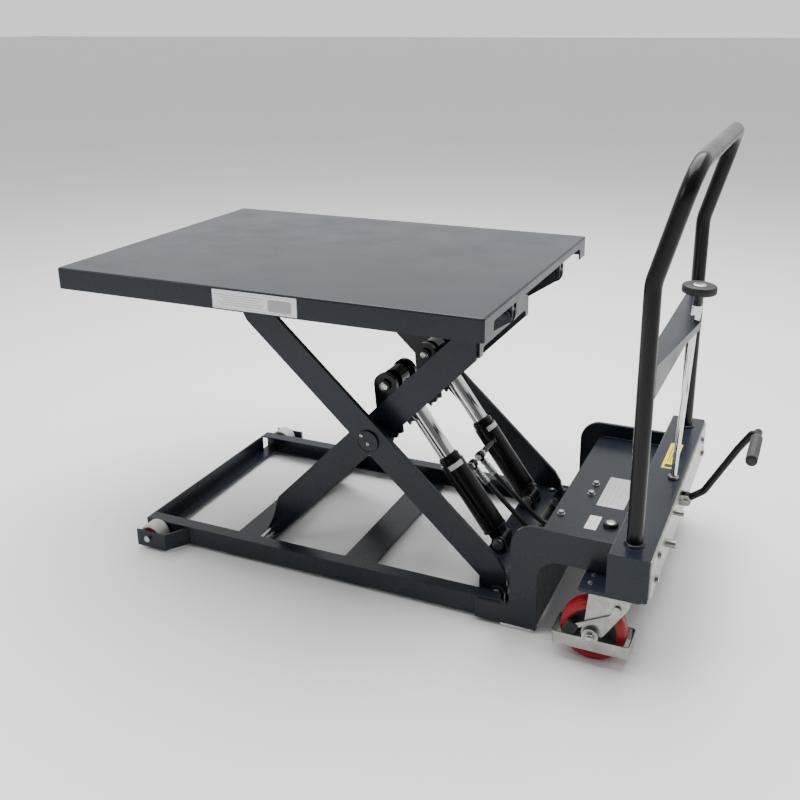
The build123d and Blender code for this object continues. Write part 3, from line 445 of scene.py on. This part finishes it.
def make_caster_details(tag, side):
    """Moulded tyre and ribbed hub, swivel race, axle end and the ribbed brake pad."""
    y = side * CASTER_Y
    axle = (AXLE_X, y, AXLE_Z)
    tyre = [(58, -20), (61, -22.3), (69, -22.2), (75, -20), (78.4, -16.5), (79.6, -11.5), (79.2, -10.8),
            (79.2, -9.6), (79.9, -9), (80, 0), (79.9, 9), (79.2, 9.6), (79.2, 10.8), (79.6, 11.5),
            (78.4, 16.5), (75, 20), (69, 22.2), (61, 22.3), (58, 20)]
    piece = turn(f"tyre_{tag}", tyre, axle, (0, 1, 0), f"wheel_{tag}", "tyre", closed=True,
                 sides=128)
    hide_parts(f"caster_wheel_{tag}")
    half = [(9.1, 27), (18.5, 27), (20, 25.8), (20, 18), (23, 15.2), (28, 14.5), (44, 13.6, "scallop"),
            (50, 14.6), (53.5, 18.4), (55, 19.6), (57.9, 19.9)]
    hub = half + [(radius, -height, *shape) for radius, height, *shape in half[::-1]]
    turn(f"wheel_hub_{tag}", hub, axle, (0, 1, 0), f"wheel_{tag}", "wheel_hub", closed=True)
    race = [(30, -1), (37.5, -1), (39, 0.5), (39, 4), (36.2, 4.6), (36.2, 6.2), (39, 7), (39, 11),
            (37, 12.6), (30, 12.6)]
    turn(f"swivel_race_{tag}", race, (SWIVEL_X, y, SWIVEL_Z), (0, 0, 1), f"caster_{tag}", "zinc",
         closed=True)
    outer = y + side * 51
    turn(f"axle_end_{tag}", [(6.5, -2), (6.5, 2.2), (5.2, 3.2)], (AXLE_X, outer, AXLE_Z), (0, side, 0),
         f"caster_{tag}", "steel", sides=40)
    mesh = bmesh.new()
    tilt = radians(-25)
    across = Vector((cos(tilt), 0, sin(tilt))) * -side
    up = Vector((-sin(tilt), 0, cos(tilt)))
    face = Vector((524, y + side * 32, 86))
    thick, pitch = 7.2, 4.6
    slab(mesh, face, across, up, rounded_outline(31, 37, 6), thick, 1.0)
    top = face + across.cross(up) * thick
    for row in range(-3, 4):
        slab(mesh, top + up * row * pitch, across, up, rounded_outline(25, 2.4, 0.8, 3), 0.9, 0.3)
    add_piece(f"brake_pad_{tag}", mesh, f"brake_{tag}", ["knob"])


def make_roller_details(tag, side):
    """Front roller: a pale tread round a red hub."""
    start = (-725, side * 337, 36)
    axis = (0, side, 0)
    body = f"front_roller_{tag}_body"
    tread = [(28.5, 1.2), (29.4, 0.2), (33, 0), (35.2, 1), (36, 3.2), (36, 40.8), (35.2, 43), (33, 44),
             (29.4, 43.8), (28.5, 42.8)]
    piece = turn(f"front_tread_{tag}", tread, start, axis, body, "roller", closed=True)
    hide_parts(f"front_roller_{tag}")
    hub = [(6.1, -1.8), (13, -1.8), (14, -0.8), (14.6, 2.6), (26.6, 2.6), (28.4, 1.4),
           (28.4, 42.6), (26.6, 41.4), (14.6, 41.4), (14, 44.8), (13, 45.8), (6.1, 45.8)]
    turn(f"front_hub_{tag}", hub, start, axis, body, "roller_hub", closed=True)


for tag, side in SIDES.items():
    make_caster_details(tag, side)
    make_roller_details(tag, side)


# ---- Cylinders and scissor --------------------------------------------------------------

# The cylinders' lower pin, their upper pin, the line between the two, and the scissor's centre.
MOUNT = Vector((261, 0, 119))
LUG = Vector((-47.55, 0, 542.67))
ALONG = (LUG - MOUNT).normalized()
CENTRE = Vector((-65.7, 0, 409.5))
CYLINDER_Y = 130
ARM_SLOPE = radians(45.71)
# Each barrel's label: its ends along the barrel, its lift off the axis, and the angle it starts at.
BARREL_LABEL = (233, 247)
BARREL_LABEL_RADIUS = 33.15
BARREL_LABEL_START = {"near": -90, "far": -60}
BARREL_LABEL_STEPS = 16


def make_cylinder_details(tag, side):
    """The barrel's gland, wiper, weld ring and label, the rod's eye and sleeves, and the lug pins."""
    base = MOUNT + Vector((0, side * CYLINDER_Y, 0))
    body = f"barrel_{tag}"
    gland = [(28, 254), (29.8, 255), (29.8, 258.4), (28.9, 259), (28.9, 261), (29.8, 261.6), (29.8, 266),
             (28.6, 268), (28, 268)]
    turn(f"gland_{tag}", gland, base, ALONG, body, "black_paint", closed=True)
    wiper = [(23.2, 269.9), (26.4, 269.9), (26.4, 271.6), (24.6, 273.4), (23.4, 273.8)]
    turn(f"wiper_{tag}", wiper, base, ALONG, body, "hose", closed=True)
    shoulder = [(32.8, 33.6), (34.4, 35.4), (34.6, 37.4), (33.6, 39.6), (32.8, 40)]
    turn(f"barrel_weld_{tag}", shoulder, base, ALONG, body, "black_paint", closed=True)
    square = Vector((0, 1, 0))
    out = square.cross(ALONG)
    mesh = bmesh.new()
    rows = []
    for height in BARREL_LABEL:
        row = []
        for step in range(BARREL_LABEL_STEPS + 1):
            angle = radians(BARREL_LABEL_START[tag] + 5 * step)
            turned = square * sin(angle) + out * cos(angle)
            row.append(mesh.verts.new(mm(*(base + ALONG * height + turned * BARREL_LABEL_RADIUS))))
        rows.append(row)
    for step in range(BARREL_LABEL_STEPS):
        mesh.faces.new((rows[0][step], rows[0][step + 1], rows[1][step + 1], rows[1][step]))
    add_piece(f"barrel_label_{tag}", mesh, body, ["label_white"])
    eye = [(15.2, -0.3), (27.6, -0.3), (28.7, 0.8), (28.7, 47.2), (27.6, 48.3), (15.2, 48.3)]
    outwards = (0, side, 0)
    turn(f"rod_eye_{tag}", eye, LUG + Vector((0, side * 106, 0)), outwards, f"rod_{tag}",
         "black_paint", closed=True)
    for place, reach, long in (("inner", 81.2, 24.6), ("outer", 154.2, 32.4)):
        sleeve = [(15.05, 0), (15.8, 0.6), (15.8, long - 0.6), (15.05, long)]
        turn(f"rod_pin_sleeve_{place}_{tag}", sleeve, LUG + Vector((0, side * reach, 0)), outwards,
             f"rod_{tag}", "black_paint", closed=True, sides=64)
    for place, reach, way in (("outer", 208, side), ("inner", 60, -side)):
        turn(f"lug_pin_{place}_{tag}", [(11, -1), (11, 2.6), (9.6, 3.6), (4.2, 3.6), (3.6, 2.8)],
             LUG + Vector((0, side * reach, 0)), (0, way, 0), "inner_arms", "steel", sides=48)


def make_arm_details(tag, side):
    """The centre pin's washer and screws, and the pivot pins' end caps."""
    face = side * 278
    along = Vector((cos(ARM_SLOPE), 0, sin(ARM_SLOPE)))
    across = Vector((-along.z, 0, along.x))
    out = (0, side, 0)
    centre = CENTRE + Vector((0, face, 0))
    rim = [(26, 0), (30.4, 0), (30.8, 0.5), (30.6, 1), (26.6, 1.2), (26, 0.8)]
    turn(f"pin_washer_{tag}", rim, centre, out, "outer_arms", "painted_steel", closed=True)
    for order, (step, rise) in enumerate(((0, 23), (-2, -5))):
        spot = centre + along * step + across * rise
        socket_screw(f"pin_screw_{order}_{tag}", spot, out, "outer_arms", 5.2, 3.4)
    turn(f"roller_cap_{tag}", [(9.6, -1), (9.6, 0.8), (8.2, 1.6), (3, 1.6)], (-433.9, side * 313, 765), out,
         "outer_arms", "steel", sides=48)
    # The deck pin caps take the dark powder coat as painted shade: they sit in the shadow under the
    # platform's end, where bare steel would show bright.
    for place, spot, reach, body, finish in (("deck", (285.3, 0, 782), 232.2, "platform", "painted_steel"),
                                             ("base", (302.4, 0, 54), 291, "base", "steel")):
        turn(f"{place}_pin_cap_{tag}", [(11.4, -0.5), (11.4, 1.2), (10, 2.2), (4, 2.2)],
             Vector(spot) + Vector((0, side * reach, 0)), out, body, finish, sides=48)


for tag, side in SIDES.items():
    make_cylinder_details(tag, side)
    make_arm_details(tag, side)


# ---- Handle end -------------------------------------------------------------------------


def make_release_details():
    """Knurled knob with a bright cap, the rod's collar at the beam and its coupler's washer."""
    foot = Vector((679, 5, 319))
    axis = Vector((703, 5, 832)) - foot
    reach = axis.length
    grip = [(10.4, 472), (10.4, 494), (13, 499), (24, 501.6), (37, reach - 10.8), (40.4, reach - 9),
            (42, reach - 6.4, "knurl"), (42, reach + 6.2, "knurl"), (40.2, reach + 9), (37, reach + 10.6),
            (19, reach + 11), (17.6, reach + 9.6)]
    knob = turn("knob_grip", grip, foot, axis, "release", "knob", sides=216)
    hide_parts("release_knob")
    cap = [(16.6, reach + 9), (16.6, reach + 10.8), (14.4, reach + 12.2), (8, reach + 12.9),
           (2, reach + 13.1)]
    turn("knob_cap", cap, foot, axis, "release", "steel", sides=64)
    collar = [(8.3, 1), (12.6, 1), (13.4, 2), (13.4, 7), (12.2, 8.4), (8.3, 8.4)]
    turn("rod_collar", collar, foot, axis, "base", "zinc", closed=True, sides=64)
    washer = [(8.3, 433.6), (12.4, 433.6), (12.4, 435.6), (8.3, 435.6)]
    turn("coupler_washer", washer, foot, axis, "release", "steel", closed=True, sides=64)


def make_pedal_details():
    """Ribbed rubber sleeve with a dark end plug."""
    start_at, out = (874, -41, 486), (0, -1, 0)
    rings = [(10.7, 0), (12.6, 0), (13.6, 1.4)]
    for rib in range(14):
        low = 6 + rib * 8
        rings += [(13.6, low), (14, low + 0.8), (14, low + 5), (13.6, low + 5.8), (12.9, low + 6.4)]
    rings += [(13.6, 119), (13.6, 128), (12.4, 128.6)]
    sleeve = turn("pedal_sleeve", rings, start_at, out, "pedal", "grip")
    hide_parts("pedal_grip")
    plug = [(12.4, 128), (13.9, 128.8), (14, 133), (13.2, 137), (10, 138.8), (3, 139)]
    turn("pedal_plug", plug, start_at, out, "pedal", "knob")


def make_beam_details():
    """Collars round the handle tubes, the tank's cap, and the cylinder seat's bolt."""
    upwards = (0, 0, 1)
    for tag, side in SIDES.items():
        turn(f"tube_collar_{tag}", [(19.1, 0), (24.4, 0), (24.8, 1), (23.6, 4), (21, 6), (19.1, 6.6)],
             (654, side * 362, 319), upwards, "base", "painted_steel", closed=True)
    cap = [(17, 0), (19, 0.6, "knurl"), (19, 7.4, "knurl"), (17.4, 9.4), (12.5, 9.6), (12, 8.8)]
    spot = (563, -187, 255)
    piece = turn("cap_body", cap, spot, upwards, "base", "knob", sides=216)
    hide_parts("filler_cap")
    disc = [(11.8, 8), (11.8, 9.4), (10.6, 10), (3, 10)]
    turn("cap_disc", disc, spot, upwards, "base", "steel", sides=64)
    hex_nut("seat_bolt", (297, 232, 96), upwards, "base", 9, 7, "zinc")


def make_labels():
    """Plain labels on the platform's skirt, the cover and the beam."""
    lines = [(-38, 12 - 6 * row, 130 - 14 * (row % 3), 1.6) for row in range(5)]
    borders = [(72, -2, 66, 30), (0, 20, 225, 0.8), (0, -20, 225, 0.8)]
    label("skirt_label", (-277.5, -444, 809.2), (1, 0, 0), (0, 0, 1), 239, 48, "platform", "label_white",
          lines + borders)
    fields = [(0, 26 - 13 * row, 150 - 30 * (row % 2), 1.2) for row in range(5)]
    label("data_plate", (540, -11, 255), (0, 1, 0), (-1, 0, 0), 172, 72, "base", "label_silver", fields)
    label("cover_label", (519, -189.5, 255), (0, 1, 0), (-1, 0, 0), 71, 30, "base", "label_white",
          [(0, 7, 58, 1.2), (-8, 0, 42, 1.2), (4, -7, 50, 1.2)])
    label("beam_label", (654.5, 139.5, 319), (0, 1, 0), (-1, 0, 0), 165, 33, "base", "label_yellow",
          [(-66, 0, 20, 20), (8, 7, 104, 1.8), (0, 0, 88, 1.8), (6, -7, 98, 1.8)], print_finish="wheel_hub")


def make_welds():
    """Beads where the side plates meet the rails, cover and beam."""
    for tag, side in SIDES.items():
        weld(f"weld_rail_{tag}", [(262.6, side * 332.4, 13), (262.6, side * 332.4, 62)], "base")
        weld(f"weld_rail_top_{tag}", [(265, side * 332.2, 64.4), (328, side * 332.2, 64.4)], "base")
        weld(f"weld_cover_{tag}", [(414, side * 331.4, 255.6), (604, side * 331.4, 255.6)], "base")
        weld(f"weld_riser_{tag}", [(606.4, side * 338, 216), (606.4, side * 338, 294)], "base", 2.2)
        weld(f"weld_end_{tag}", [(-771, side * 293.4, 16), (-771, side * 293.4, 60)], "base", 2.2)
        for order, x in enumerate((-526, -407, -172, -76)):
            weld(f"weld_tie_{order}_{tag}", [(x, side * 293, 16.3), (x, side * 270, 16.3)], "base", 2.0)
    weld("weld_beam", [(606.4, -330, 255.8), (606.4, 330, 255.8)], "base")


make_release_details()
make_pedal_details()
make_beam_details()
make_labels()
make_welds()


# ---- Floor and light --------------------------------------------------------------------


def make_stage():
    """A plain pale floor, a surround that is brightest beyond the table, and two soft lights."""
    mesh = bmesh.new()
    bmesh.ops.create_grid(mesh, x_segments=2, y_segments=2, size=60)
    data = bpy.data.meshes.new("floor")
    mesh.to_mesh(data)
    mesh.free()
    data.materials.append(look("floor", (0.90, 0.90, 0.90), (0.92, 0.92, 0.92), (0.6, 0.7),
                               blotch=1.0, grain=60, relief=0.05))
    floor = bpy.data.objects.new("floor", data)
    bpy.context.scene.collection.objects.link(floor)
    world = bpy.data.worlds.new("surround")
    world.use_nodes = True
    nodes, links = world.node_tree.nodes, world.node_tree.links
    surround = nodes["Background"]
    surround.inputs["Strength"].default_value = 1.0
    direction = nodes.new("ShaderNodeTexCoord")
    split = nodes.new("ShaderNodeSeparateXYZ")
    shade = nodes.new("ShaderNodeValToRGB")
    shade.color_ramp.elements[0].position = 0.25
    shade.color_ramp.elements[0].color = (0.16, 0.16, 0.17, 1)
    shade.color_ramp.elements[1].position = 0.62
    shade.color_ramp.elements[1].color = (1.08, 1.08, 1.08, 1)
    spread = nodes.new("ShaderNodeMapRange")
    spread.inputs["From Min"].default_value = -1
    links.new(direction.outputs["Generated"], split.inputs["Vector"])
    links.new(split.outputs["Y"], spread.inputs["Value"])
    links.new(spread.outputs["Result"], shade.inputs["Fac"])
    links.new(shade.outputs["Color"], surround.inputs["Color"])
    bpy.context.scene.world = world
    target = Vector((0, 0, 0.5))
    for name, spot, size, watts in (("overhead", (-0.2, 0.8, 4.2), 4.5, 420),
                                    ("front", (-3.2, -3.0, 2.8), 1.6, 40)):
        lamp = bpy.data.lights.new(name, "AREA")
        lamp.shape = "SQUARE"
        lamp.size = size
        lamp.energy = watts
        light = bpy.data.objects.new(name, lamp)
        light.location = spot
        light.rotation_euler = (target - Vector(spot)).to_track_quat("-Z", "Y").to_euler()
        bpy.context.scene.collection.objects.link(light)


make_stage()
